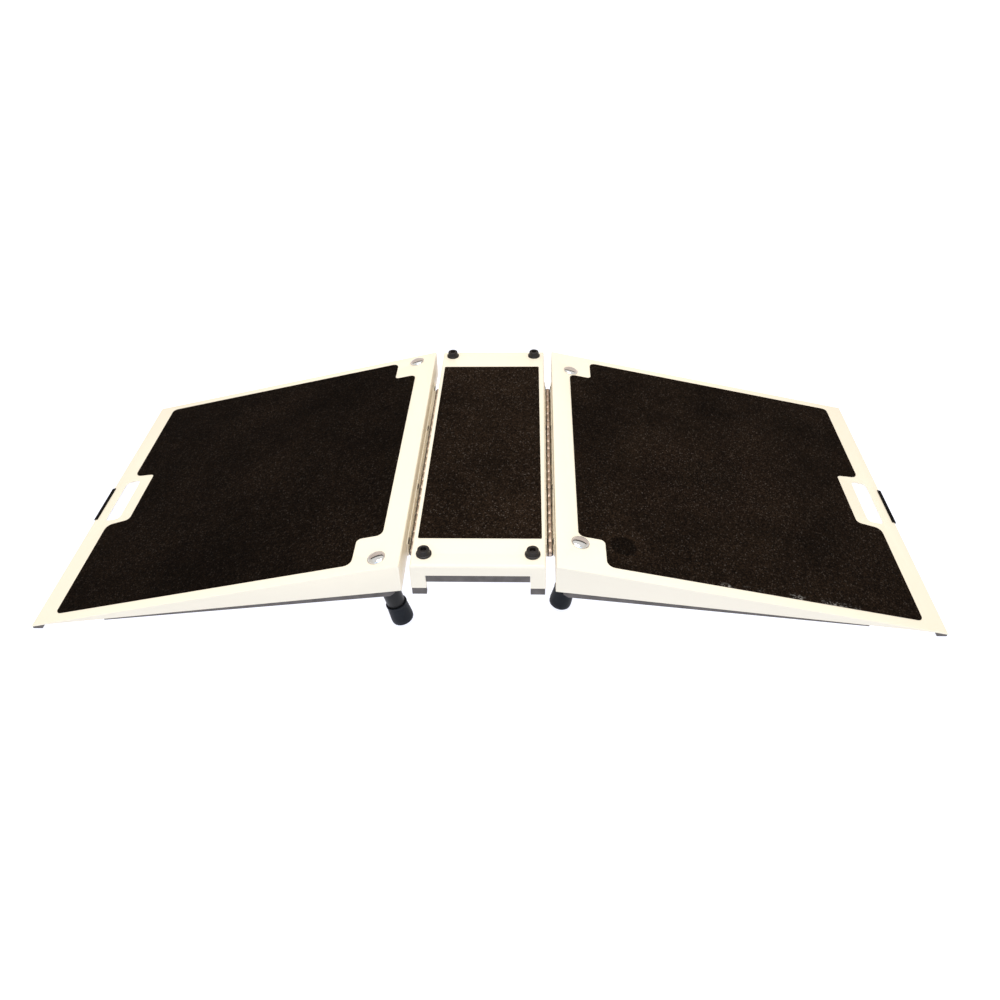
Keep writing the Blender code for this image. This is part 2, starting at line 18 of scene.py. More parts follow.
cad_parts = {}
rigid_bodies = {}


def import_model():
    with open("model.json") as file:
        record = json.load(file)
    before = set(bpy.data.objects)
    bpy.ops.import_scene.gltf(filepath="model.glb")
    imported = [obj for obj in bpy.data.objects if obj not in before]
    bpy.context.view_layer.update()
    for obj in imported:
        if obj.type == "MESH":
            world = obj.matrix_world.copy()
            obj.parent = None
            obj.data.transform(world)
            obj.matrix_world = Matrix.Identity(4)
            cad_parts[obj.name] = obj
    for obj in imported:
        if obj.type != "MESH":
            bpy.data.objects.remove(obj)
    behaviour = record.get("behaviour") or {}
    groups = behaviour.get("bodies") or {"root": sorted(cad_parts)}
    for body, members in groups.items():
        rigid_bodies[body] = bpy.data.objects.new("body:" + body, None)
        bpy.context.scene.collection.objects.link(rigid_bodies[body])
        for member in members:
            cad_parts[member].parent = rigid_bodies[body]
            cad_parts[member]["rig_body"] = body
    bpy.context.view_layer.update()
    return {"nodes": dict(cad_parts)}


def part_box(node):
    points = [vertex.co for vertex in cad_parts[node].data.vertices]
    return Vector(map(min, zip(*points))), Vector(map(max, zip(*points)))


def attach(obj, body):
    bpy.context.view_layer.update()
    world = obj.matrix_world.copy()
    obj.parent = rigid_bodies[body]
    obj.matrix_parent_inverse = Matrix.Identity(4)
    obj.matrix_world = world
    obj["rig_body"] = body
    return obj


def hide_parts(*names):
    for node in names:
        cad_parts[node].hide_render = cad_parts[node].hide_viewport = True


# The camera, in metres and degrees: where it stands, where it points and how it leans
CAMERA_PLACE = (0.0941, -1.3987, 1.1368)
CAMERA_YAW = 2.945
CAMERA_PITCH = -38.766
CAMERA_ROLL = -1.677
CAMERA_LENS = 31.917
SENSOR = 36.0
CAMERA_SIGHT = 200.0

# How far edges are rounded, in metres
BEND = 0.0048
RAMP_BEND = 0.0019
CORNER = 0.0016
SHEET_EDGE = 0.0005
TRIM_EDGE = 0.00055
STRIP_EDGE = 0.0004
RIB_EDGE = 0.00072
LEAF_EDGE = 0.0001

# How many facets make a rounded edge, an arc of an outline, or a full turn
EDGE_STEPS = 3
TRAY_STEPS = 4
RIB_STEPS = 2
LEAF_STEPS = 1
ARC_STEPS = 4
TUBE_ARC_STEPS = 2
DOME_STEPS = 12
TURN_STEPS = 56
SCREW_TURN_STEPS = 32
FERRULE_TURN_STEPS = 64
BOLT_TURN_STEPS = 72
RIVET_TURN_STEPS = 24

# Joining and telling apart: distances in metres, angles in radians
MERGE = 0.00002
SPIKE = 0.003
FLAT = math.radians(1.0)
FOLD = math.radians(35.0)

# Colours
IVORY = (0.850, 0.768, 0.620)
IVORY_DRIFT = 1.02
BRONZE = (0.62, 0.49, 0.40)
# Painted shade: the dark of the gaps between a hinge's barrel and its leaves
GAP_SHADE = (0.012, 0.009, 0.007)
TUBE_BASE = (0.018, 0.019, 0.020)
TUBE_DARK = (0.0085, 0.0085, 0.0085)
TUBE_LIGHT = (0.0120, 0.0115, 0.0110)
SCUFFED = (0.42, 0.40, 0.37, 1.0)
FLOOR_GREY = (0.3, 0.3, 0.3)
UNLIT = (0.0, 0.0, 0.0)

# Plain surfaces
COAT_SURFACE = {"roughness": 0.42, "specular": 0.3}
GRIT_SURFACE = {"roughness": 0.8, "specular": 0.02}
TUBE_SURFACE = {"roughness": 0.38, "specular": 0.20}
LEAF_SURFACE = {"roughness": 0.5}
FLOOR_SURFACE = {"roughness": 0.9, "specular": 0.0}
CARD_SURFACE = {"roughness": 1.0, "specular": 0.0}

# Rubbers: colour, roughness, specular level
BLACK_RUBBER = ((0.0150, 0.0112, 0.0100), 0.42, 0.26)
STRIP_RUBBER = ((0.0040, 0.0034, 0.0032), 0.8, 0.06)
FERRULE_RUBBER = ((0.0068, 0.0086, 0.0118), 0.5, 0.14)
GREY_RUBBER = ((0.120, 0.106, 0.098), 0.75, 0.2)

# Metals: colour, roughness, and how far the roughness strays
PLATED_STEEL = ((0.86, 0.845, 0.82), 0.09, 0.03)
PIN_STEEL = ((0.62, 0.50, 0.40), 0.50, 0.08)
# Near black, far darker than bare steel: the rivet heads carry painted shade of dark recesses along
# the leaf
RIVET_SHADE_STEEL = ((0.05, 0.045, 0.04), 0.45, 0.08)
SCREW_STEEL = ((0.22, 0.20, 0.19), 0.35, 0.08)
MILL_ALUMINIUM = ((0.62, 0.62, 0.60), 0.38, 0.08)

# Noise fields: waves per metre, detail and, for some, roughness
COAT_TONE = (9.0, 3.0)
COAT_GLOSS = (40.0, 3.0)
COAT_PEEL = (900.0, 2.0)
GRIT_WEAR = (6.0, 5.0, 0.6)
GRIT_BUMPS = (1100.0, 3.0, 0.7)
PRESS_EDGE = (30.0, 3.0)
SCUFF_FLECKS = (210.0, 4.0, 0.65)
SCUFF_STRETCHES = (22.0, 2.0)
RUBBER_TONE = (60.0, 4.0)
RUBBER_BUMPS = (1500.0, 2.0)
METAL_GLOSS = (250.0, 3.0)
METAL_TONE = (45.0, 4.0)
LEAF_TONE = (90.0, 4.0)
TUBE_TONE = (50.0, 3.0)
TUBE_PEEL = (1200.0, 2.0)

# A noise field's two shades meet between these values
BLOTCHES = (0.3, 0.7)

# The two shades of an uneven surface, as roughness or as shares of its colour
COAT_GLOSSES = (0.36, 0.48)
RUBBER_SHADES = (0.8, 1.25)
METAL_SHADE = 0.85

# Heights of the surface grain, in metres
PEEL = 0.00003
RUBBER_GRAIN = 0.00004
GRIT_GRAIN = 0.0005

# Grit
GRAIN_PITCH = 0.0030
GRAIN_JITTER = 0.36
GRAIN_MARGIN = 0.45
GRAIN_DEPTH = 0.00038
GRAIN_SKEW = 1.5
GRAIN_LIFT = 0.00028
GRAIN_CELLS = 520.0
GRIT_DARK = (0.0060, 0.0035, 0.0020)
# Painted glint: the brightest grain cells stand in for sparkle, on top of the grains' own tone
GRIT_GLINT = (0.035, 0.028, 0.023)
GRIT_SHADES = ((0.00, 0.10), (0.50, 1.0), (0.80, 2.2))
GRIT_GLINT_FROM = 0.93
GRIT_WEAR_STOPS = ((0.35, 0.70), (0.65, 1.35))
ROW_PITCH = math.sqrt(0.75)
CDT_MERGE = 1e-7

# Grit sheets: brightness and seed. The brightness is painted light: the same grit drawn lighter or
# darker on each sheet for how light falls on it
BRIDGE_GRIT = (1.5, 11)
LEFT_GRIT = (0.8, 12)
RIGHT_GRIT = (1.2, 13)

# Wear of the right ramp's grit: places and reaches in metres, then stops of place and strength
SCUFF_REACH = 0.011
SCUFF_SPAN = (0.40, 0.66)
SCUFF_INWARD_STOPS = ((0.15, 1.0), (1.0, 0.0))
SCUFF_ALONG_STOPS = ((0.85, 1.0), (1.0, 0.0))
SCUFF_FLECK_STOPS = ((0.50, 0.0), (0.62, 1.0))
SCUFF_STRETCH_STOPS = ((0.42, 0.0), (0.56, 1.0))
PRESS_PLACE = (0.118, -0.272)
PRESS_REACH = 0.060
PRESS_WOBBLE = 0.010
PRESS_STOPS = ((0.44, 0.55), (0.50, 1.45), (0.70, 1.25), (1.00, 1.0))

# Bumpers and their screws: heights in metres, and shares of the radius or the height
BUMPER_FOOT = 0.0026
BUMPER_STEP = 0.0032
BUMPER_STEP_IN = 0.0022
BUMPER_TOP_IN = 0.0031
BUMPER_RECESS = 0.40
BUMPER_RECESS_FLOOR = 0.38
BUMPER_BORE = 0.19
BUMPER_ROUNDING = (0.0003, 0.0008, 0.0004, 0.0009, 0.0006, 0.0004, 0, 0)
SCREW_SHANK = 0.41
SCREW_HEAD = 0.0026
SCREW_CROWN = ((0.35, 0.0), (0.85, 0.0007))
SCREW_RIM = 0.0008
SCREW_TIP = 0.6
SCREW_ROUNDING = (0, 0.001, 0.0006, 0.0004, 0.0002, 0.0002, 0, 0, 0)
CROSS_REACH = 0.5
CROSS_TURN = 0.4
CROSS_SLIMNESS = 0.42
CROSS_DEPTH = 0.0028

# Legs, in metres
TUBE_WALL = 0.002
TUBE_EDGE = 0.0004
FERRULE_GAP = 0.0003
FERRULE_LIP = 0.0010
FERRULE_SOLE = 0.008
FERRULE_BEAD = 0.0032
FERRULE_NECK = 0.0040
FERRULE_NECK_IN = 0.0007
FERRULE_WAIST = 0.016
FERRULE_WAIST_IN = 0.0004
FERRULE_SOLE_IN = 0.0006
FERRULE_ROUNDING = (0, 0.001, 0.0003, 0.0006, 0.0005, 0.0006, 0.006, 0.004, 0.0032, 0)
BOLT_SHANK = 0.005
BOLT_SEAT = 0.0003
BOLT_FLANGE = 0.0010
BOLT_DOME = 0.93

# Hinges: sizes in metres, and stops across a leaf as shares of its reach
LEAF_REACH = 0.0082
LEAF_THICKNESS = 0.0018
# Across a leaf: bare knuckle, then the painted shade of the gap, then the ivory plate
LEAF_STOPS = ((0.28, BRONZE), (0.36, GAP_SHADE), (0.56, GAP_SHADE), (0.60, IVORY))
LEAF_TONE_STOPS = ((0.35, 0.75), (0.65, 1.15))
LEAF_WEAR_STOPS = ((0.50, 1.0), (0.60, 0.1))
LEAF_BARE_STOPS = ((0.28, 0.75), (0.36, 0.0))
RIVET_DROP = 0.006
RIVET_PLACES = (-0.250, -0.097, 0.097, 0.250)
RIVET_RADIUS = 0.0033
RIVET_HEIGHT = 0.0016
RIVET_SUNK = 0.0004
RIVET_LENGTH = 2.6
RIVET_DOME = ((0.5, 0.92), (0.85, 0.62), (1.0, 0.15))

# Studio: places and sizes in metres, light in watts, glows as strengths
WORLD_COLOUR = (1.0, 0.965, 0.90, 1.0)
WORLD_STRENGTH = 0.74
FLOOR_HALF_SIZE = 40.0
FLOOR_DROP = 0.0005
FLOOR_GLOW_COLOUR = (0.98, 1.0, 1.12, 1.0)
FLOOR_GLOW = 0.90
KEY_LIGHT = {
    "place": (0.0, -0.35, 2.6), "aim": (0, -0.15, 0.1), "size": (1.6, 1.0), "power": 48.0,
    "colour": (0.98, 0.99, 1.0),
}
FRONT_LIGHT = {
    "place": (0.0, -3.0, 0.7), "aim": (0, 0, 0.1), "size": (3.0, 0.8), "power": 19.0,
    "colour": (0.20, 0.52, 1.0),
}
DARK_CARD = {"place": (0, 3.0, 3.15), "size": (9.0, 0.84), "glow": (0.03, 0.03, 0.03)}
TAN_CARD = {"place": (0, 3.0, 1.45), "size": (9.0, 2.55), "glow": (0.72, 0.62, 0.56)}
WHITE_CARD = {
    "place": (0, -0.1, 3.1), "size": (6.0, 4.8), "glow": (0.80, 0.80, 0.80), "level": True,
}

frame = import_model()
nodes = frame["nodes"]
SIDES = ("left", "right")
EDGES = ("near", "far")


# Frames and measurements


def ramp_frame(side):
    """The frame of one ramp, read from its deck's highest and outermost corners."""
    points = [v.co for v in nodes[side + "_ramp_deck"].data.vertices]
    top = max(points, key=lambda p: p.z)
    toe = max(points, key=lambda p: abs(p.x))
    slope = math.atan2(top.z - toe.z, abs(toe.x) - abs(top.x))
    heading = 0.0 if toe.x > 0 else math.pi
    turn = Matrix.Rotation(heading, 4, "Z") @ Matrix.Rotation(slope, 4, "Y")
    return Matrix.Translation((top.x, 0, top.z)) @ turn


def hinge_frame(side):
    """The frame of one hinge, on its pin's axis, with +X towards its ramp."""
    low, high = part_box(side + "_hinge_pin")
    middle = (low + high) / 2
    heading = 0.0 if middle.x > 0 else math.pi
    return Matrix.Translation(middle) @ Matrix.Rotation(heading, 4, "Z")


FRAMES = {"bridge": Matrix.Translation((0, 0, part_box("bridge_deck")[1].z))}
for ramp_side in SIDES:
    FRAMES[ramp_side + "_ramp"] = ramp_frame(ramp_side)


def body_of(node):
    """The name of the body that a CAD node rides on."""
    return nodes[node]["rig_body"]


def points_in(node, place):
    """A CAD node's vertices, seen from a frame."""
    back = place.inverted()
    return [back @ v.co for v in nodes[node].data.vertices]


def box_in(node, place):
    """Lowest and highest corner of a CAD node, seen from a frame."""
    points = np.array(points_in(node, place))
    return Vector(points.min(axis=0)), Vector(points.max(axis=0))


# Meshes


def new_object(name, mesh, place, body, finish, replaced=()):
    """A shown piece of the object, in place on its body, with its place in its vertices."""
    piece = bpy.data.objects.new(name, mesh)
    bpy.context.scene.collection.objects.link(piece)
    mesh.materials.clear()
    mesh.materials.append(finish)
    mesh.transform(place)
    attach(piece, body)
    if replaced:
        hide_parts(*replaced)
    return piece


def coat_node(node, finish):
    """Give a finish to a CAD node that is shown as it is."""
    materials = nodes[node].data.materials
    materials.clear()
    materials.append(finish)


def mesh_from(builder, name):
    """Turn a bmesh into a mesh, with its faces turned outwards."""
    bmesh.ops.recalc_face_normals(builder, faces=builder.faces)
    mesh = bpy.data.meshes.new(name)
    builder.to_mesh(mesh)
    builder.free()
    return mesh


def cut_spikes(builder):
    """Cut off the zero-width spikes that a face's outline runs out along and back."""
    welds = {}
    for face in list(builder.faces):
        for loop in face.loops:
            tip = loop.vert
            edges = (loop.edge, loop.link_loop_prev.edge)
            short, long = sorted(edges, key=lambda edge: edge.calc_length())
            near, far = short.other_vert(tip), long.other_vert(tip)
            if (near.co - tip.co).angle(far.co - tip.co) > SPIKE:
                continue
            share = short.calc_length() / long.calc_length()
            if share > 1 - SPIKE:
                continue
            vert = bmesh.utils.edge_split(long, tip, share)[1]
            bmesh.utils.face_split(face, vert, near)
            welds[vert] = near
            break
    bmesh.ops.weld_verts(builder, targetmap=welds)


def cad_builder(node, place):
    """A bmesh of a CAD node in a frame, with its facets joined where they are flat."""
    builder = bmesh.new()
    builder.from_mesh(nodes[node].data)
    bmesh.ops.transform(builder, matrix=place.inverted(), verts=builder.verts)
    bmesh.ops.remove_doubles(builder, verts=builder.verts, dist=MERGE)
    verts, edges = builder.verts, builder.edges
    bmesh.ops.dissolve_limit(
        builder, angle_limit=FLAT, verts=verts, edges=edges, use_dissolve_boundaries=False
    )
    cut_spikes(builder)
    bmesh.ops.recalc_face_normals(builder, faces=builder.faces)
    return builder


def evaluated(mesh, modifiers):
    """A mesh with modifiers applied to it. Each modifier is its type and its settings."""
    carrier = bpy.data.objects.new("carrier", mesh)
    bpy.context.scene.collection.objects.link(carrier)
    for kind, settings in modifiers:
        change = carrier.modifiers.new(kind, kind)
        for key, value in settings.items():
            setattr(change, key, value)
    graph = bpy.context.evaluated_depsgraph_get()
    made = bpy.data.meshes.new_from_object(carrier.evaluated_get(graph))
    bpy.data.objects.remove(carrier)
    return made


def rounded_mesh(builder, name, width_of, segments=EDGE_STEPS):
    """Round a bmesh's sharp edges, each by the width that width_of gives for it."""
    layer = builder.edges.layers.float.new("bevel_weight_edge")
    widest = 0.0
    widths = {}
    for edge in builder.edges:
        if len(edge.link_faces) != 2 or edge.calc_face_angle(0.0) < FOLD:
            continue
        widths[edge] = width_of(edge)
        widest = max(widest, widths[edge])
    for edge, width in widths.items():
        edge[layer] = width / widest
    mesh = mesh_from(builder, name)
    mesh.shade_smooth()
    settings = {
        "width": widest,
        "segments": segments,
        "limit_method": "WEIGHT",
        "use_clamp_overlap": False,
        "harden_normals": True,
        "miter_outer": "MITER_ARC",
    }
    return evaluated(mesh, [("BEVEL", settings)])


def evenly(width):
    """A rule that rounds every edge by the same width."""
    return lambda edge: width


def rounded_copy(name, node, finish, width_of, segments=EDGE_STEPS):
    """A CAD node's shape with rounded edges, standing for it."""
    body = body_of(node)
    place = FRAMES[body]
    mesh = rounded_mesh(cad_builder(node, place), name, width_of, segments)
    return new_object(name, mesh, place, body, finish, (node,))


def softened(points, radii, steps=ARC_STEPS, closed=True):
    """A flat outline with its corners replaced by arcs."""
    outline = []
    count = len(points)
    for i, radius in enumerate(radii):
        corner = Vector(points[i])
        if radius == 0 or (not closed and i in (0, count - 1)):
            outline.append(tuple(corner))
            continue
        before = (Vector(points[i - 1]) - corner).normalized()
        after = (Vector(points[(i + 1) % count]) - corner).normalized()
        half = before.angle(after) / 2
        reach = radius / math.tan(half)
        centre = corner + (before + after).normalized() * radius / math.sin(half)
        first = corner + before * reach - centre
        last = corner + after * reach - centre
        turn = first.angle_signed(last)
        for k in range(steps + 1):
            spin = -turn * k / steps
            arm = Vector((
                first.x * math.cos(spin) - first.y * math.sin(spin),
                first.x * math.sin(spin) + first.y * math.cos(spin),
            ))
            outline.append(tuple(centre + arm))
    return outline


def lathe(name, profile, closed=False, steps=TURN_STEPS):
    """Turn an outline of radius and height round Z. An open one starts and ends on the axis."""
    builder = bmesh.new()
    rows = []
    for radius, height in profile:
        if radius < MERGE:
            rows.append([builder.verts.new((0, 0, height))])
            continue
        angles = [2 * math.pi * k / steps for k in range(steps)]
        rows.append([
            builder.verts.new((radius * math.cos(a), radius * math.sin(a), height)) for a in angles
        ])
    pairs = list(zip(rows, rows[1:]))
    if closed:
        pairs.append((rows[-1], rows[0]))
    for one, two in pairs:
        for k in range(steps):
            ahead = (k + 1) % steps
            first, second = len(one), len(two)
            loop = [one[k % first], one[ahead % first], two[ahead % second], two[k % second]]
            corners = list(dict.fromkeys(loop))
            if len(corners) > 2:
                builder.faces.new(corners)
    mesh = mesh_from(builder, name)
    mesh.shade_smooth()
    mesh.set_sharp_from_angle(angle=FOLD)
    return mesh


# Finishes


def new_finish(name, colour, roughness, metallic=0.0, specular=0.5):
    """A finish with plain values, and its node tree and shader for adding to."""
    finish = bpy.data.materials.new(name)
    finish.use_nodes = True
    tree = finish.node_tree
    shader = tree.nodes["Principled BSDF"]
    shader.inputs["Base Color"].default_value = (*colour, 1.0)
    shader.inputs["Roughness"].default_value = roughness
    shader.inputs["Metallic"].default_value = metallic
    shader.inputs["Specular IOR Level"].default_value = specular
    return finish, tree, shader


def object_coordinates(tree):
    """Each point's place in its object's own axes, in metres."""
    return tree.nodes.new("ShaderNodeTexCoord").outputs["Object"]


def noise(tree, where, scale, detail, roughness=0.5):
    """A noise field's value, from 0 to 1."""
    node = tree.nodes.new("ShaderNodeTexNoise")
    node.inputs["Scale"].default_value = scale
    node.inputs["Detail"].default_value = detail
    node.inputs["Roughness"].default_value = roughness
    tree.links.new(where, node.inputs["Vector"])
    return node.outputs["Fac"]


def cells(tree, where, scale):
    """A cell pattern, with a random colour for each cell."""
    node = tree.nodes.new("ShaderNodeTexVoronoi")
    node.inputs["Scale"].default_value = scale
    tree.links.new(where, node.inputs["Vector"])
    return node.outputs["Color"]


def ramp(tree, value, stops):
    """Colours along a value: each stop is a place and a colour or a grey."""
    node = tree.nodes.new("ShaderNodeValToRGB")
    elements = node.color_ramp.elements
    while len(elements) < len(stops):
        elements.new(0.5)
    for element, (place, colour) in zip(elements, stops):
        rgb = colour if isinstance(colour, tuple) else (colour,) * 3
        element.position = place
        element.color = (*rgb, 1.0)
    tree.links.new(value, node.inputs["Fac"])
    return node.outputs["Color"]


def mixed(tree, kind, factor, one, two):
    """Two colours mixed. A factor or a colour is a value or another node's output."""
    node = tree.nodes.new("ShaderNodeMix")
    node.data_type = "RGBA"
    node.blend_type = kind
    for socket, value in ((node.inputs[0], factor), (node.inputs[6], one), (node.inputs[7], two)):
        if isinstance(value, bpy.types.NodeSocket):
            tree.links.new(value, socket)
        else:
            socket.default_value = value
    return node.outputs[2]


def mottled(tree, where, field, one, two):
    """A shade that drifts between two in the soft blotches of a noise field."""
    return ramp(tree, noise(tree, where, *field), list(zip(BLOTCHES, (one, two))))


def scaled(colour, factor):
    """A colour made darker or lighter by a factor."""
    return tuple(factor * c for c in colour)


def arithmetic(tree, operation, one, two):
    """One sum on a value and a number or another value."""
    node = tree.nodes.new("ShaderNodeMath")
    node.operation = operation
    for socket, value in ((node.inputs[0], one), (node.inputs[1], two)):
        if isinstance(value, bpy.types.NodeSocket):
            tree.links.new(value, socket)
        else:
            socket.default_value = value
    return node.outputs[0]


def distance_along(tree, where, axis, middle, unit):
    """How far a point is from a plane square to an axis, in a given unit."""
    parts = tree.nodes.new("ShaderNodeSeparateXYZ")
    tree.links.new(where, parts.inputs["Vector"])
    apart = arithmetic(tree, "SUBTRACT", parts.outputs[axis], middle)
    return arithmetic(tree, "MULTIPLY", arithmetic(tree, "ABSOLUTE", apart, 0.0), 1.0 / unit)


def bump(tree, shader, height, distance):
    """Raise the surface's grain by a height field, in metres."""
    node = tree.nodes.new("ShaderNodeBump")
    node.inputs["Strength"].default_value = 1.0
    node.inputs["Distance"].default_value = distance
    tree.links.new(height, node.inputs["Height"])
    tree.links.new(node.outputs["Normal"], shader.inputs["Normal"])


def coat_finish():
    """Ivory powder coat: satin, with a fine peel and a faint unevenness of tone."""
    finish, tree, shader = new_finish("ivory_powder_coat", IVORY, **COAT_SURFACE)
    where = object_coordinates(tree)
    tone = mottled(tree, where, COAT_TONE, IVORY, scaled(IVORY, IVORY_DRIFT))
    tree.links.new(tone, shader.inputs["Base Color"])
    gloss = mottled(tree, where, COAT_GLOSS, *COAT_GLOSSES)
    tree.links.new(gloss, shader.inputs["Roughness"])
    bump(tree, shader, noise(tree, where, *COAT_PEEL), PEEL)
    return finish


def grit_finish(name, painted_light, scuff_edge=None, press=None):
    """Black mineral grit: brown-black grains, a few bright cells of painted glint among them, and
    marks of scuffing and pressing.
    """
    finish, tree, shader = new_finish(name, GRIT_DARK, **GRIT_SURFACE)
    where = object_coordinates(tree)
    # The sheet's brightness factor is painted light: the same grit made lighter or darker per sheet
    stops = [(place, scaled(GRIT_DARK, painted_light * share)) for place, share in GRIT_SHADES]
    stops.append((GRIT_GLINT_FROM, scaled(GRIT_GLINT, painted_light)))
    shade = ramp(tree, cells(tree, where, GRAIN_CELLS), stops)
    worn = ramp(tree, noise(tree, where, *GRIT_WEAR), GRIT_WEAR_STOPS)
    colour = mixed(tree, "MULTIPLY", 1.0, shade, worn)
    if press is not None:
        colour = mixed(tree, "MULTIPLY", 1.0, colour, press_mark(tree, where, press))
    if scuff_edge is not None:
        colour = mixed(tree, "MIX", scuff_mask(tree, where, scuff_edge), colour, SCUFFED)
    tree.links.new(colour, shader.inputs["Base Color"])
    bump(tree, shader, noise(tree, where, *GRIT_BUMPS), GRIT_GRAIN)
    return finish


def press_mark(tree, where, middle):
    """A round patch that something has pressed darker, with a paler ring about it."""
    apart = tree.nodes.new("ShaderNodeVectorMath")
    apart.operation = "DISTANCE"
    apart.inputs[1].default_value = middle
    tree.links.new(where, apart.inputs[0])
    wobble = arithmetic(tree, "MULTIPLY", noise(tree, where, *PRESS_EDGE), PRESS_WOBBLE)
    reach = arithmetic(tree, "ADD", apart.outputs["Value"], wobble)
    share = arithmetic(tree, "MULTIPLY", reach, 1.0 / PRESS_REACH)
    return ramp(tree, share, PRESS_STOPS)


def scuff_mask(tree, where, edge):
    """Where grit is scuffed: broken flecks that thin out away from one edge of the sheet."""
    y_edge, (x_low, x_high) = edge
    middle, half = (x_low + x_high) / 2, (x_high - x_low) / 2
    inward = distance_along(tree, where, "Y", y_edge, SCUFF_REACH)
    along = distance_along(tree, where, "X", middle, half)
    near = ramp(tree, inward, SCUFF_INWARD_STOPS)
    within = ramp(tree, along, SCUFF_ALONG_STOPS)
    flecks = ramp(tree, noise(tree, where, *SCUFF_FLECKS), SCUFF_FLECK_STOPS)
    stretches = ramp(tree, noise(tree, where, *SCUFF_STRETCHES), SCUFF_STRETCH_STOPS)
    mask = mixed(tree, "MULTIPLY", 1.0, near, within)
    mask = mixed(tree, "MULTIPLY", 1.0, mask, flecks)
    return mixed(tree, "MULTIPLY", 1.0, mask, stretches)


def rubber_finish(name, colour, roughness, specular):
    """Moulded rubber: matt, with a faint grain."""
    finish, tree, shader = new_finish(name, colour, roughness, specular=specular)
    where = object_coordinates(tree)
    dark, light = (scaled(colour, share) for share in RUBBER_SHADES)
    tone = mottled(tree, where, RUBBER_TONE, dark, light)
    tree.links.new(tone, shader.inputs["Base Color"])
    bump(tree, shader, noise(tree, where, *RUBBER_BUMPS), RUBBER_GRAIN)
    return finish


def metal_finish(name, colour, roughness, spread):
    """Bare or plated metal, uneven in gloss and tone."""
    finish, tree, shader = new_finish(name, colour, roughness, metallic=1.0)
    where = object_coordinates(tree)
    gloss = mottled(tree, where, METAL_GLOSS, roughness - spread, roughness + spread)
    tree.links.new(gloss, shader.inputs["Roughness"])
    tone = mottled(tree, where, METAL_TONE, scaled(colour, METAL_SHADE), colour)
    tree.links.new(tone, shader.inputs["Base Color"])
    return finish


def leaf_finish(name, axis):
    """A hinge leaf: bare knuckles, with painted shade in the gaps beside them, on a plate coated
    like the tray.
    """
    finish, tree, shader = new_finish(name, BRONZE, **LEAF_SURFACE)
    where = object_coordinates(tree)
    share = distance_along(tree, where, "X", axis, LEAF_REACH)
    worn = ramp(tree, noise(tree, where, *LEAF_TONE), LEAF_TONE_STOPS)
    across = ramp(tree, share, LEAF_STOPS)
    wear = ramp(tree, share, LEAF_WEAR_STOPS)
    colour = mixed(tree, "MULTIPLY", wear, across, worn)
    tree.links.new(colour, shader.inputs["Base Color"])
    tree.links.new(ramp(tree, share, LEAF_BARE_STOPS), shader.inputs["Metallic"])
    return finish


def coated_tube_finish():
    """Black coating on the leg tubes: satin, with a fine peel."""
    finish, tree, shader = new_finish("black_tube_coat", TUBE_BASE, **TUBE_SURFACE)
    where = object_coordinates(tree)
    tone = mottled(tree, where, TUBE_TONE, TUBE_DARK, TUBE_LIGHT)
    tree.links.new(tone, shader.inputs["Base Color"])
    bump(tree, shader, noise(tree, where, *TUBE_PEEL), PEEL)
    return finish


# The sheet-metal trays


def upright_end(x):
    """Where an upright end wall of a tray stands at any height."""
    return lambda z: x


def leaning_end(slope):
    """Where the leaning hinge wall of a ramp's tray stands at a height."""
    return lambda z: -z * math.tan(slope)


def tray_width(edge_low, edge_high, ends, side_bend):
    """How far each edge of a tray is rounded, from its box and the walls at its ends."""

    def width_of(edge):
        one, two = (v.co for v in edge.verts)
        y = (one.y + two.y) / 2
        on_side = min(abs(y - edge_low.y), abs(y - edge_high.y)) < MERGE
        on_end = any(max(abs(v.x - end(v.z)) for v in (one, two)) < MERGE for end in ends)
        on_top = max(abs(one.z), abs(two.z)) < MERGE
        if on_top and on_side:
            return side_bend
        if on_top and on_end:
            return BEND
        if on_side and on_end:
            return CORNER
        return SHEET_EDGE

    return width_of


def build_trays(finish):
    """The bridge's tray and the two ramps' trays, with bent edges and closed corners."""
    low, high = box_in("bridge_deck", FRAMES["bridge"])
    width_of = tray_width(low, high, (upright_end(low.x), upright_end(high.x)), BEND)
    rounded_copy("bridge_tray", "bridge_deck", finish, width_of, TRAY_STEPS)
    for side in SIDES:
        node = side + "_ramp_deck"
        place = FRAMES[side + "_ramp"]
        low, high = box_in(node, place)
        slope = math.asin(abs(place[2][0]))
        width_of = tray_width(low, high, (leaning_end(slope),), RAMP_BEND)
        rounded_copy(side + "_ramp_tray", node, finish, width_of, TRAY_STEPS)


# The grit sheets


def top_outline(node, place):
    """The outline of a flat node's top face, in order."""
    builder = cad_builder(node, place)
    top = max(builder.faces, key=lambda f: f.normal.z * f.calc_area())
    outline = np.array([v.co[:2] for v in top.verts])
    height = top.calc_center_median().z
    low = min(v.co.z for v in builder.verts)
    builder.free()
    return outline, low, height


def is_inside(points, outline):
    """Whether each point lies inside an outline."""
    inside = np.zeros(len(points), bool)
    x, y = points[:, 0], points[:, 1]
    for one, two in zip(outline, np.roll(outline, -1, axis=0)):
        if one[1] == two[1]:
            continue
        crosses = (one[1] > y) != (two[1] > y)
        inside ^= crosses & (x < one[0] + (y - one[1]) * (two[0] - one[0]) / (two[1] - one[1]))
    return inside


def is_clear(points, outline, margin):
    """Whether each point is more than a margin away from an outline."""
    clear = np.ones(len(points), bool)
    for one, two in zip(outline, np.roll(outline, -1, axis=0)):
        along = two - one
        share = np.clip(((points - one) @ along) / (along @ along), 0, 1)
        nearest = one + share[:, None] * along
        clear &= np.hypot(*(points - nearest).T) > margin
    return clear


def walked(outline, pitch):
    """An outline with points added so that none are further apart than a pitch."""
    walk = []
    for one, two in zip(outline, np.roll(outline, -1, axis=0)):
        count = max(1, math.ceil(np.hypot(*(two - one)) / pitch))
        walk += [one + (two - one) * k / count for k in range(count)]
    return np.array(walk)


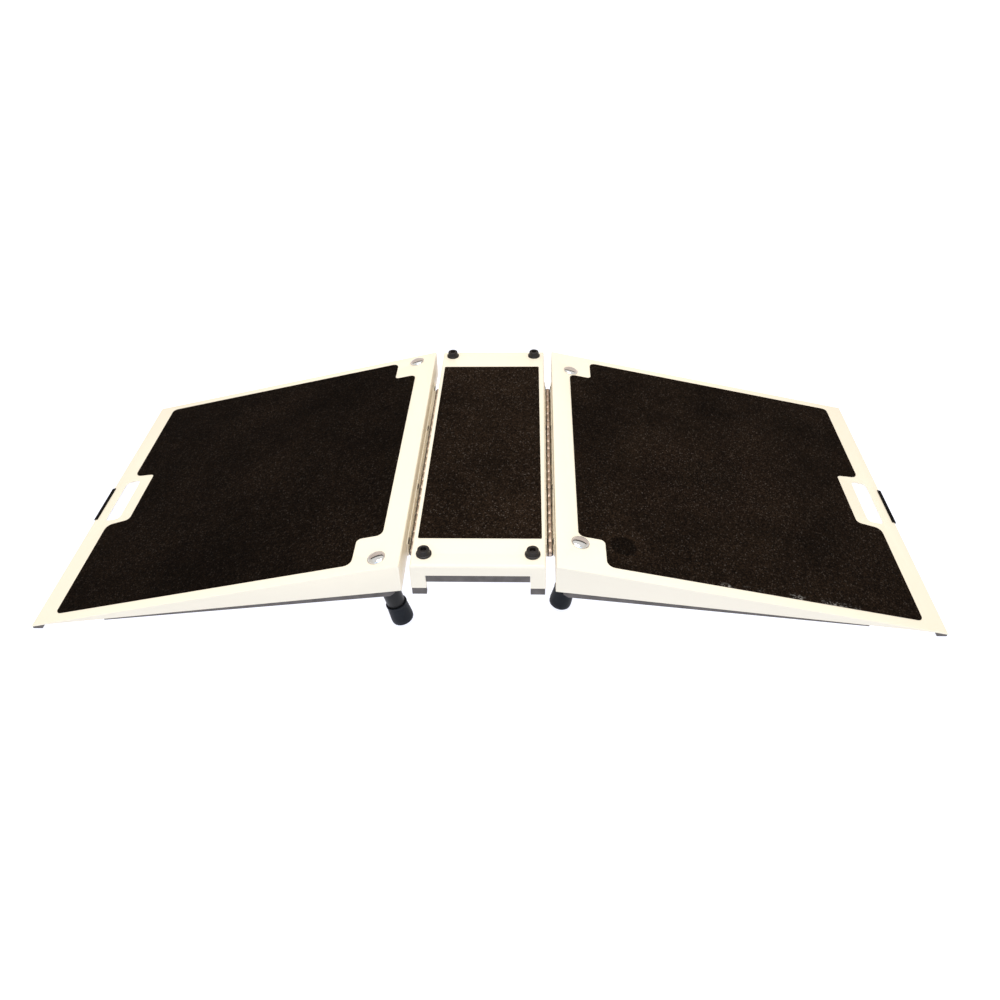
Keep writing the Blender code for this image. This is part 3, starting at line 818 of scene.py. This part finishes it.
def build_grit(node, finish, seed):
    """A sheet of coarse grit: an irregular faceted top over the outline of its CAD node."""
    body = body_of(node)
    place = FRAMES[body]
    outline, low, high = top_outline(node, place)
    source = np.random.default_rng(seed)
    border = walked(outline, GRAIN_PITCH)
    across, along = outline.min(axis=0), outline.max(axis=0)
    xs = np.arange(across[0], along[0], GRAIN_PITCH)
    ys = np.arange(across[1], along[1], GRAIN_PITCH * ROW_PITCH)
    grid_x, grid_y = np.meshgrid(xs, ys)
    grid_x[1::2] += GRAIN_PITCH / 2
    points = np.stack([grid_x.ravel(), grid_y.ravel()], axis=1)
    points += source.uniform(-GRAIN_JITTER, GRAIN_JITTER, points.shape) * GRAIN_PITCH
    kept = is_inside(points, outline) & is_clear(points, outline, GRAIN_PITCH * GRAIN_MARGIN)
    points = points[kept]
    flat = np.concatenate([border, points])
    rim = len(border)
    ring = [(k, (k + 1) % rim) for k in range(rim)]
    made = delaunay_2d_cdt([Vector(p) for p in flat], ring, [], 0, CDT_MERGE, False)
    corners = np.array([tuple(v) for v in made[0]])
    faces = np.array([tuple(f) for f in made[2]])
    faces = [tuple(f) for f in faces[is_inside(corners[faces].mean(axis=1), outline)].tolist()]
    heights = high - GRAIN_DEPTH * source.random(len(corners)) ** GRAIN_SKEW
    heights[:rim] = high - GRAIN_DEPTH
    bottom = low - GRAIN_LIFT
    tops = [(x, y, z) for (x, y), z in zip(corners, heights)]
    unders = [(x, y, bottom) for x, y in corners[:rim]]
    offset = len(tops)
    sides = [(offset + a, offset + b, b, a) for a, b in ring]
    under = tuple(range(offset + rim - 1, offset - 1, -1))
    mesh = bpy.data.meshes.new(node + "_grit")
    mesh.from_pydata(tops + unders, [], faces + sides + [under])
    builder = bmesh.new()
    builder.from_mesh(mesh)
    bmesh.ops.recalc_face_normals(builder, faces=builder.faces)
    builder.to_mesh(mesh)
    builder.free()
    new_object(node + "_grit", mesh, place, body, finish, (node,))


# Turned pieces


def upright(node, place):
    """A frame on a round node's own axis, square to its deck, with Z=0 at the deck's face."""
    low, high = box_in(node, place)
    return place @ Matrix.Translation(((low.x + high.x) / 2, (low.y + high.y) / 2, 0))


def radius_and_span(node, place):
    """A round node's radius, and its lowest and highest points, seen from a frame."""
    low, high = box_in(node, place)
    return (high.x - low.x) / 2, low.z, high.z


def build_bumpers(rubber, steel):
    """Stepped rubber bumpers on the bridge's corners, each with a sunk pan-head screw."""
    place = FRAMES["bridge"]
    for end in SIDES:
        for edge in EDGES:
            tail = end + "_" + edge
            node = "bumper_" + tail
            radius, low, high = radius_and_span(node, place)
            centre = upright(node, place)
            recess = radius * BUMPER_RECESS
            floor = high * BUMPER_RECESS_FLOOR
            bore = radius * BUMPER_BORE
            profile = [
                (radius, low), (radius, low + BUMPER_FOOT),
                (radius - BUMPER_STEP_IN, low + BUMPER_STEP), (radius - BUMPER_TOP_IN, high),
                (recess, high), (recess, floor), (bore, floor), (bore, low),
            ]
            mesh = lathe(node + "_rubber", softened(profile, BUMPER_ROUNDING), closed=True)
            new_object(mesh.name, mesh, centre, "bridge", rubber, (node,))
            build_bumper_screw("bumper_screw_" + tail, steel)


def build_bumper_screw(node, steel):
    """A pan-head screw with a crossed head and a pointed shank."""
    place = FRAMES["bridge"]
    head, low, high = radius_and_span(node, place)
    shank = head * SCREW_SHANK
    seat = high - SCREW_HEAD
    crown = [(head * share, high - drop) for share, drop in SCREW_CROWN]
    profile = [
        (0, high), *crown, (head, seat + SCREW_RIM), (head, seat), (shank, seat),
        (shank, low + SCREW_RIM), (shank * SCREW_TIP, low), (0, low),
    ]
    outline = softened(profile, SCREW_ROUNDING, closed=False)
    mesh = lathe(node + "_steel", outline, steps=SCREW_TURN_STEPS)
    mesh = cross_recessed(mesh, high, head * CROSS_REACH)
    new_object(mesh.name, mesh, upright(node, place), "bridge", steel, (node,))


def cross_recessed(mesh, top, reach):
    """A screw head with a cross pressed into it."""
    builder = bmesh.new()
    for turn in (0, math.pi / 2):
        spin = Matrix.Rotation(turn + CROSS_TURN, 4, "Z") @ Matrix.Translation((0, 0, top))
        size = Matrix.Diagonal((reach * 2, reach * CROSS_SLIMNESS, CROSS_DEPTH, 1.0))
        bmesh.ops.create_cube(builder, size=1.0, matrix=spin @ size)
    cutter = bpy.data.objects.new("cross", mesh_from(builder, "cross"))
    bpy.context.scene.collection.objects.link(cutter)
    name = mesh.name
    settings = {"operation": "DIFFERENCE", "solver": "EXACT", "object": cutter, "use_self": True}
    made = evaluated(mesh, [("BOOLEAN", settings)])
    bpy.data.objects.remove(cutter)
    bpy.data.meshes.remove(mesh)
    made.name = name
    return made


def build_legs(tube_coat, rubber, steel, aluminium):
    """The ramps' legs: tube, ferrule, threaded insert and domed bolt."""
    for side in SIDES:
        body = side + "_ramp"
        place = FRAMES[body]
        for edge in EDGES:
            tail = side + "_" + edge
            node = "leg_tube_" + tail
            radius, low, high = radius_and_span(node, place)
            centre = upright(node, place)
            bore = radius - TUBE_WALL
            profile = [(radius, high), (radius, low), (bore, low), (bore, high)]
            outline = softened(profile, [TUBE_EDGE] * len(profile), TUBE_ARC_STEPS)
            mesh = lathe(node + "_coat", outline, closed=True)
            new_object(mesh.name, mesh, centre, body, tube_coat, (node,))
            build_ferrule("ferrule_" + tail, radius, rubber)
            build_bolt("leg_bolt_" + tail, steel)
            coat_node("leg_insert_" + tail, aluminium)


def build_ferrule(node, tube_radius, rubber):
    """A rubber cup with a beaded mouth, a swelling foot and a rounded sole."""
    body = body_of(node)
    place = FRAMES[body]
    radius, low, high = radius_and_span(node, place)
    inner = tube_radius + FERRULE_GAP
    mouth = radius - FERRULE_LIP
    sole = low + FERRULE_SOLE
    profile = [
        (0, sole), (inner, sole), (inner, high), (mouth, high), (mouth, high - FERRULE_BEAD),
        (mouth - FERRULE_NECK_IN, high - FERRULE_NECK),
        (radius - FERRULE_WAIST_IN, low + FERRULE_WAIST), (radius, sole),
        (radius - FERRULE_SOLE_IN, low), (0, low),
    ]
    outline = softened(profile, FERRULE_ROUNDING, closed=False)
    mesh = lathe(node + "_rubber", outline, steps=FERRULE_TURN_STEPS)
    new_object(mesh.name, mesh, upright(node, place), body, rubber, (node,))


def build_bolt(node, steel):
    """A wide domed head with a thin flange, over a plain shank."""
    body = body_of(node)
    place = FRAMES[body]
    radius, low, high = radius_and_span(node, place)
    flange = BOLT_SEAT + BOLT_FLANGE
    dome = []
    for k in range(DOME_STEPS + 1):
        angle = math.pi / 2 * k / DOME_STEPS
        out = radius * BOLT_DOME * math.sin(angle)
        dome.append((out, flange + (high - flange) * math.cos(angle)))
    rim = [
        (radius, flange), (radius, BOLT_SEAT), (BOLT_SHANK, BOLT_SEAT), (BOLT_SHANK, low), (0, low),
    ]
    mesh = lathe(node + "_steel", dome + rim, steps=BOLT_TURN_STEPS)
    new_object(mesh.name, mesh, upright(node, place), body, steel, (node,))


# The hinges


def build_hinges(steel, dark):
    """Leaves with knuckles, a pin in each, and rivets through the leaves."""
    for side in SIDES:
        place = hinge_frame(side)
        leaf = leaf_finish(side + "_hinge_look", place.translation.x)
        for part in ("ramp_leaf", "bridge_leaf"):
            node = side + "_hinge_" + part
            builder = cad_builder(node, place)
            mesh = rounded_mesh(builder, node + "_steel", evenly(LEAF_EDGE), LEAF_STEPS)
            body = body_of(node)
            new_object(mesh.name, mesh, place, body, leaf, (node,))
            low, high = box_in(node, place)
            back, inward = (high.x, -1) if part == "ramp_leaf" else (low.x, 1)
            face = back + inward * LEAF_THICKNESS
            build_rivets(node, body, place, face, inward, high.z - RIVET_DROP, dark)
        coat_node(side + "_hinge_pin", steel)


def build_rivets(node, body, place, face, inward, height, finish):
    """Long domed rivet heads on a leaf's face, in a row along the hinge, near black for the painted
    shade of dark recesses along the leaf.
    """
    dome = [(RIVET_RADIUS * out, RIVET_HEIGHT * up) for out, up in RIVET_DOME]
    profile = [(0, RIVET_HEIGHT), *dome, (RIVET_RADIUS, -RIVET_SUNK), (0, -RIVET_SUNK)]
    lie = Matrix.Rotation(inward * math.pi / 2, 4, "Y")
    turn = lie @ Matrix.Diagonal((1, RIVET_LENGTH, 1, 1))
    for k, y in enumerate(RIVET_PLACES):
        mesh = lathe(f"{node}_rivet_{k + 1}", profile, steps=RIVET_TURN_STEPS)
        spot = place @ Matrix.Translation((face, y, height)) @ turn
        new_object(mesh.name, mesh, spot, body, finish)


# Rubber trim and ribs


def build_trim(grey, black):
    """The rubber under the walls and toes, and the black strip beside each hand slot."""
    grey_nodes = ["cutout_pad_near", "cutout_pad_far"]
    grey_nodes += [f"foot_pad_{end}_{edge}" for end in SIDES for edge in EDGES]
    grey_nodes += [f"{side}_edge_strip_{edge}" for side in SIDES for edge in EDGES]
    grey_nodes += [side + "_toe_rest" for side in SIDES]
    for node in grey_nodes:
        rounded_copy(node + "_rubber", node, grey, evenly(TRIM_EDGE))
    for side in SIDES:
        node = side + "_handle_strip"
        rounded_copy(node + "_rubber", node, black, evenly(STRIP_EDGE))


def build_ribs(aluminium):
    """The stiffening channels under the decks."""
    names = ["bridge_rib_near", "bridge_rib_far"]
    names += [f"{side}_rib_{edge}" for side in SIDES for edge in EDGES]
    for node in names:
        name = node + "_channel"
        rounded_copy(name, node, aluminium, evenly(RIB_EDGE), RIB_STEPS)


# The studio


def build_floor():
    """A plain white floor that a soft shadow barely darkens."""
    builder = bmesh.new()
    bmesh.ops.create_grid(builder, x_segments=1, y_segments=1, size=FLOOR_HALF_SIZE)
    mesh = mesh_from(builder, "studio_floor")
    finish, _, shader = new_finish("studio_floor", FLOOR_GREY, **FLOOR_SURFACE)
    shader.inputs["Emission Color"].default_value = FLOOR_GLOW_COLOUR
    shader.inputs["Emission Strength"].default_value = FLOOR_GLOW
    mesh.materials.append(finish)
    floor = bpy.data.objects.new("studio_floor", mesh)
    floor.location.z = -FLOOR_DROP
    bpy.context.scene.collection.objects.link(floor)


def build_light(name, place, aim, size, power, colour):
    """A rectangular soft light, turned towards a point."""
    lamp = bpy.data.lights.new(name, "AREA")
    lamp.shape = "RECTANGLE"
    lamp.size, lamp.size_y = size
    lamp.energy = power
    lamp.color = colour
    holder = bpy.data.objects.new(name, lamp)
    holder.location = place
    holder.rotation_euler = (Vector(aim) - Vector(place)).to_track_quat("-Z", "Y").to_euler()
    bpy.context.scene.collection.objects.link(holder)


def build_card(name, place, size, glow, level=False):
    """A card, upright or level, that only shows in reflections."""
    width, height = size
    builder = bmesh.new()
    turn = Matrix.Rotation(0 if level else math.pi / 2, 4, "X")
    flat = turn @ Matrix.Diagonal((width, height, 1.0, 1.0))
    bmesh.ops.create_grid(builder, x_segments=1, y_segments=1, size=0.5, matrix=flat)
    mesh = mesh_from(builder, name)
    finish, _, shader = new_finish(name, UNLIT, **CARD_SURFACE)
    shader.inputs["Emission Color"].default_value = (*glow, 1.0)
    shader.inputs["Emission Strength"].default_value = 1.0
    mesh.materials.append(finish)
    card = bpy.data.objects.new(name, mesh)
    card.location = place
    for kind in ("camera", "diffuse", "transmission", "volume_scatter", "shadow"):
        setattr(card, "visible_" + kind, False)
    bpy.context.scene.collection.objects.link(card)


def build_studio():
    """The world's light, the floor, two soft lights and three reflection cards."""
    world = bpy.data.worlds.new("studio")
    world.use_nodes = True
    background = world.node_tree.nodes["Background"]
    background.inputs["Color"].default_value = WORLD_COLOUR
    background.inputs["Strength"].default_value = WORLD_STRENGTH
    bpy.context.scene.world = world
    build_floor()
    build_light("key", **KEY_LIGHT)
    build_light("front", **FRONT_LIGHT)
    build_card("dark_card", **DARK_CARD)
    build_card("tan_card", **TAN_CARD)
    build_card("white_card", **WHITE_CARD)


def build_camera():
    """The camera, aimed by its three angles."""
    yaw, pitch = math.radians(CAMERA_YAW), math.radians(CAMERA_PITCH)
    roll = math.radians(CAMERA_ROLL)
    lens = bpy.data.cameras.new("camera")
    lens.sensor_width = SENSOR
    lens.lens = CAMERA_LENS
    lens.clip_end = CAMERA_SIGHT
    camera = bpy.data.objects.new("camera", lens)
    turn = Matrix.Rotation(yaw, 4, "Z") @ Matrix.Rotation(math.pi / 2 + pitch, 4, "X")
    camera.matrix_world = Matrix.Translation(CAMERA_PLACE) @ turn @ Matrix.Rotation(roll, 4, "Z")
    bpy.context.scene.collection.objects.link(camera)
    bpy.context.scene.camera = camera


def main():
    """The whole scene."""
    bpy.context.scene.view_settings.view_transform = "Standard"
    ivory = coat_finish()
    black = rubber_finish("black_rubber_look", *BLACK_RUBBER)
    strip = rubber_finish("black_strip_look", *STRIP_RUBBER)
    ferrule = rubber_finish("blue_black_rubber", *FERRULE_RUBBER)
    grey = rubber_finish("grey_rubber_look", *GREY_RUBBER)
    bright = metal_finish("plated_steel", *PLATED_STEEL)
    hinge = metal_finish("hinge_steel_look", *PIN_STEEL)
    rivet = metal_finish("rivet_painted_shade", *RIVET_SHADE_STEEL)
    screw = metal_finish("dulled_screw", *SCREW_STEEL)
    aluminium = metal_finish("mill_aluminium", *MILL_ALUMINIUM)
    tube = coated_tube_finish()
    build_trays(ivory)
    scuff_edge = (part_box("right_grip_panel")[0].y, SCUFF_SPAN)
    press = FRAMES["right_ramp"] @ Vector((*PRESS_PLACE, 0))
    # Each sheet's brightness factor is painted light, not a difference in the grit itself
    painted_light, seed = BRIDGE_GRIT
    build_grit("bridge_grip_panel", grit_finish("grit_bridge", painted_light), seed)
    painted_light, seed = LEFT_GRIT
    build_grit("left_grip_panel", grit_finish("grit_left", painted_light), seed)
    painted_light, seed = RIGHT_GRIT
    build_grit("right_grip_panel", grit_finish("grit_right", painted_light, scuff_edge, press), seed)
    build_bumpers(black, screw)
    build_legs(tube, ferrule, bright, aluminium)
    build_hinges(hinge, rivet)
    build_trim(grey, strip)
    build_ribs(aluminium)
    build_studio()
    build_camera()


main()
